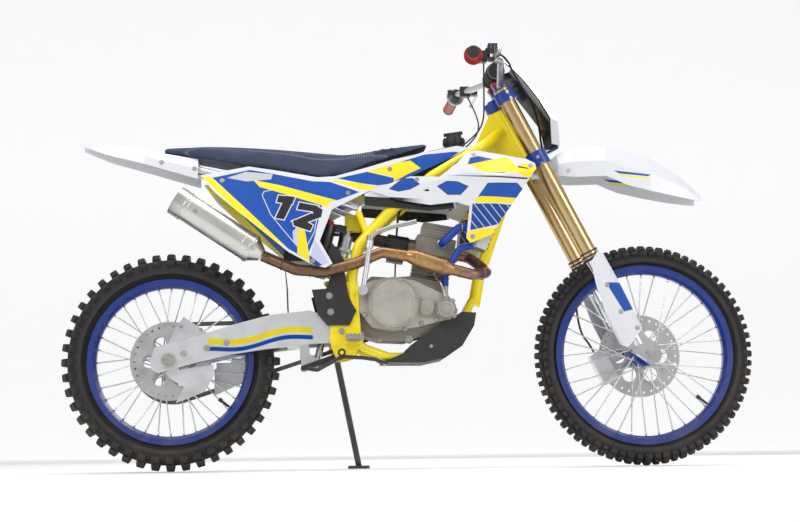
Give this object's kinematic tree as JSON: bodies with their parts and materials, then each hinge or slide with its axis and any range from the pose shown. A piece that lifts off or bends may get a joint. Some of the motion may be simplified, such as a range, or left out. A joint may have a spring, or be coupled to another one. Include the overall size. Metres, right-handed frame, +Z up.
{
  "type": "motocross motorcycle",
  "caption": "Full-size off-road motorcycle with sprung fork, linkage rear suspension, spoked wheels, turning bars, working levers, pedals and side stand",
  "frame": {"origin": "on the floor, midway along and across the machine", "axes": "+X forward, +Y to the rider left, +Z up"},
  "size_m": [2.151, 0.8042, 1.28],
  "materials": {
    "tyre_rubber": "matte",
    "blue_rim": "anodised satin",
    "spoke_steel": "polished",
    "blue_hub": "anodised satin",
    "disc_steel": "ground",
    "chain_steel": "oiled",
    "bare_aluminium": "satin",
    "caliper_silver": "cast satin",
    "gold_tube": "anodised gloss",
    "chrome_leg": "polished",
    "white_plastic": "gloss",
    "black_plastic": "matte",
    "yellow_frame": "gloss",
    "case_alloy": "painted cast grey",
    "bronze_pipe": "heat coloured",
    "brushed_can": "brushed",
    "navy_vinyl": "matte grippy vinyl",
    "black_rubber": "matte",
    "black_metal": "satin",
    "red_grip": "matte"
  },
  "bodies": {
    "chassis": {"main_frame": "yellow_frame", "subframe": "bare_aluminium", "crankcase": "case_alloy", "engine_covers": "case_alloy", "cylinder_head": "case_alloy", "intake": "black_plastic", "exhaust_header": "bronze_pipe", "silencer": "brushed_can", "radiators": "bare_aluminium", "fuel_tank": "black_plastic", "seat": "navy_vinyl", "side_panels": "white_plastic", "shrouds": "white_plastic", "rear_fender": "white_plastic", "mud_flap": "black_rubber", "skid_plate": "black_plastic", "frame_guards": "black_plastic", "control_cables": "black_rubber"},
    "filler_cap": {"fuel_cap": "black_plastic"},
    "steering_head": {"triple_clamps": "blue_hub", "fork_tubes": "gold_tube", "handlebar": "bare_aluminium", "bar_controls": "black_metal", "front_fender": "white_plastic", "number_plate": "white_plastic", "brake_hose": "black_rubber"},
    "fork_lowers": {"fork_legs": "chrome_leg", "fork_guards": "white_plastic", "front_caliper": "caliper_silver"},
    "front_wheel": {"front_tyre": "tyre_rubber", "front_rim": "blue_rim", "front_spokes": "spoke_steel", "front_hub": "blue_hub", "front_disc": "disc_steel"},
    "rear_arm": {"swingarm": "bare_aluminium", "rear_caliper": "caliper_silver", "chain": "chain_steel"},
    "rear_wheel": {"rear_tyre": "tyre_rubber", "rear_rim": "blue_rim", "rear_spokes": "spoke_steel", "rear_hub": "blue_hub", "rear_disc": "disc_steel", "rear_sprocket": "bare_aluminium"},
    "countershaft": {"front_sprocket": "disc_steel"},
    "linkage_rocker": {"rocker": "bare_aluminium"},
    "linkage_arm": {"pull_link": "black_metal"},
    "damper_body": {"shock_body": "bare_aluminium", "shock_spring": "black_metal"},
    "damper_rod": {"shock_rod": "chrome_leg"},
    "throttle": {"throttle_grip": "red_grip"},
    "front_brake_lever": {"brake_lever": "bare_aluminium"},
    "clutch": {"clutch_lever": "bare_aluminium"},
    "kill_button": {"stop_button": "black_plastic"},
    "kickstarter": {"kick_arm": "bare_aluminium"},
    "kick_foot": {"kick_pedal": "bare_aluminium"},
    "rear_brake_pedal": {"brake_pedal": "black_metal"},
    "gear_lever": {"shift_lever": "bare_aluminium"},
    "peg_right": {"right_footpeg": "disc_steel"},
    "peg_left": {"left_footpeg": "disc_steel"},
    "stand": {"side_stand": "black_metal"}
  },
  "joints": [
    {"name": "steering", "type": "hinge", "parent": "chassis", "child": "steering_head", "pos_m": [0.694, 0, 0.3241], "axis": [-0.454, 0, 0.891], "range_deg": [-38, 38], "deforming": ["control_cables"]},
    {"name": "fork_travel", "type": "slide", "parent": "steering_head", "child": "fork_lowers", "axis": [-0.454, 0, 0.891], "range_m": [0, 0.22], "stiffness_N_per_m": 5000, "springref_m": -0.16, "deforming": ["brake_hose"]},
    {"name": "front_wheel_spin", "type": "hinge", "parent": "fork_lowers", "child": "front_wheel", "pos_m": [0.735, 0, 0.345], "axis": [0, 1, 0], "continuous": true},
    {"name": "rear_suspension", "type": "hinge", "parent": "chassis", "child": "rear_arm", "pos_m": [-0.213, 0, 0.418], "axis": [0, 1, 0], "range_deg": [0, 22], "stiffness_Nm_per_rad": 1000, "springref_deg": -28.65, "deforming": ["chain"]},
    {"name": "rear_wheel_spin", "type": "hinge", "parent": "rear_arm", "child": "rear_wheel", "pos_m": [-0.735, 0, 0.336], "axis": [0, 1, 0], "continuous": true},
    {"name": "countershaft_spin", "type": "hinge", "parent": "chassis", "child": "countershaft", "pos_m": [-0.138, 0.068, 0.436], "axis": [0, 1, 0], "continuous": true},
    {"name": "rocker_turn", "type": "hinge", "parent": "rear_arm", "child": "linkage_rocker", "pos_m": [-0.325, 0, 0.352], "axis": [0, -1, 0], "range_deg": [0, 37]},
    {"name": "pull_link_turn", "type": "hinge", "parent": "chassis", "child": "linkage_arm", "pos_m": [-0.178, 0, 0.36], "axis": [0, 1, 0], "range_deg": [0, 18]},
    {"name": "damper_swing", "type": "hinge", "parent": "chassis", "child": "damper_body", "pos_m": [-0.186, 0, 0.752], "axis": [0, 1, 0], "range_deg": [0, 5]},
    {"name": "damper_stroke", "type": "slide", "parent": "damper_body", "child": "damper_rod", "axis": [0.2349, 0, 0.972], "range_m": [0, 0.052], "deforming": ["shock_spring"]},
    {"name": "throttle_twist", "type": "hinge", "parent": "steering_head", "child": "throttle", "pos_m": [0.187, -0.268, 1.236], "axis": [-0.1042, -0.9822, -0.1563], "range_deg": [0, 70], "stiffness_Nm_per_rad": 0.2, "springref_deg": -17.19},
    {"name": "brake_lever_pull", "type": "hinge", "parent": "steering_head", "child": "front_brake_lever", "pos_m": [0.245, -0.25, 1.24], "axis": [0, 0, -1], "range_deg": [0, 18], "stiffness_Nm_per_rad": 2, "springref_deg": -11.46},
    {"name": "clutch_lever_pull", "type": "hinge", "parent": "steering_head", "child": "clutch", "pos_m": [0.245, 0.25, 1.24], "axis": [0, 0, 1], "range_deg": [0, 18], "stiffness_Nm_per_rad": 2, "springref_deg": -11.46},
    {"name": "stop_button_push", "type": "slide", "parent": "steering_head", "child": "kill_button", "axis": [0.8, 0, -0.6], "range_m": [0, 0.004], "stiffness_N_per_m": 400, "springref_m": -0.003},
    {"name": "kick_start", "type": "hinge", "parent": "chassis", "child": "kickstarter", "pos_m": [-0.15, -0.175, 0.537], "axis": [0, -1, 0], "range_deg": [0, 45], "stiffness_Nm_per_rad": 4, "springref_deg": -34.38},
    {"name": "kick_pedal_fold", "type": "hinge", "parent": "kickstarter", "child": "kick_foot", "pos_m": [-0.12695, -0.183, 0.6863], "axis": [-0.157, 0, -0.9876], "range_deg": [0, 90]},
    {"name": "brake_pedal_press", "type": "hinge", "parent": "chassis", "child": "rear_brake_pedal", "pos_m": [-0.214, -0.15, 0.352], "axis": [0, 1, 0], "range_deg": [0, 12], "stiffness_Nm_per_rad": 20, "springref_deg": -8.59},
    {"name": "gear_shift", "type": "hinge", "parent": "chassis", "child": "gear_lever", "pos_m": [-0.078, 0.06, 0.414], "axis": [0, 1, 0], "range_deg": [-12, 12], "stiffness_Nm_per_rad": 5},
    {"name": "right_peg_fold", "type": "hinge", "parent": "chassis", "child": "peg_right", "pos_m": [-0.176, -0.147, 0.402], "axis": [-1, 0, 0], "range_deg": [0, 55], "stiffness_Nm_per_rad": 1.5, "springref_deg": -34.38},
    {"name": "left_peg_fold", "type": "hinge", "parent": "chassis", "child": "peg_left", "pos_m": [-0.176, 0.147, 0.402], "axis": [1, 0, 0], "range_deg": [0, 55], "stiffness_Nm_per_rad": 1.5, "springref_deg": -34.38},
    {"name": "side_stand_fold", "type": "hinge", "parent": "chassis", "child": "stand", "pos_m": [-0.229, 0.141, 0.382], "axis": [0.2719, 0.8587, 0.4344], "range_deg": [0, 80]},
    {"name": "fuel_cap_turn", "type": "hinge", "parent": "chassis", "child": "filler_cap", "pos_m": [0.15, 0, 1.022], "axis": [0, 0, 1], "range_deg": [0, 120]}
  ],
  "couplings": [
    {"joint": "rocker_turn", "follows": "rear_suspension", "ratio": 1.6292},
    {"joint": "pull_link_turn", "follows": "rear_suspension", "ratio": 0.7639},
    {"joint": "damper_swing", "follows": "rear_suspension", "ratio": 0.1761},
    {"joint": "damper_stroke", "follows": "rear_suspension", "m_per_rad": 0.12999},
    {"joint": "countershaft_spin", "follows": "rear_wheel_spin", "ratio": 3.6923}
  ]
}
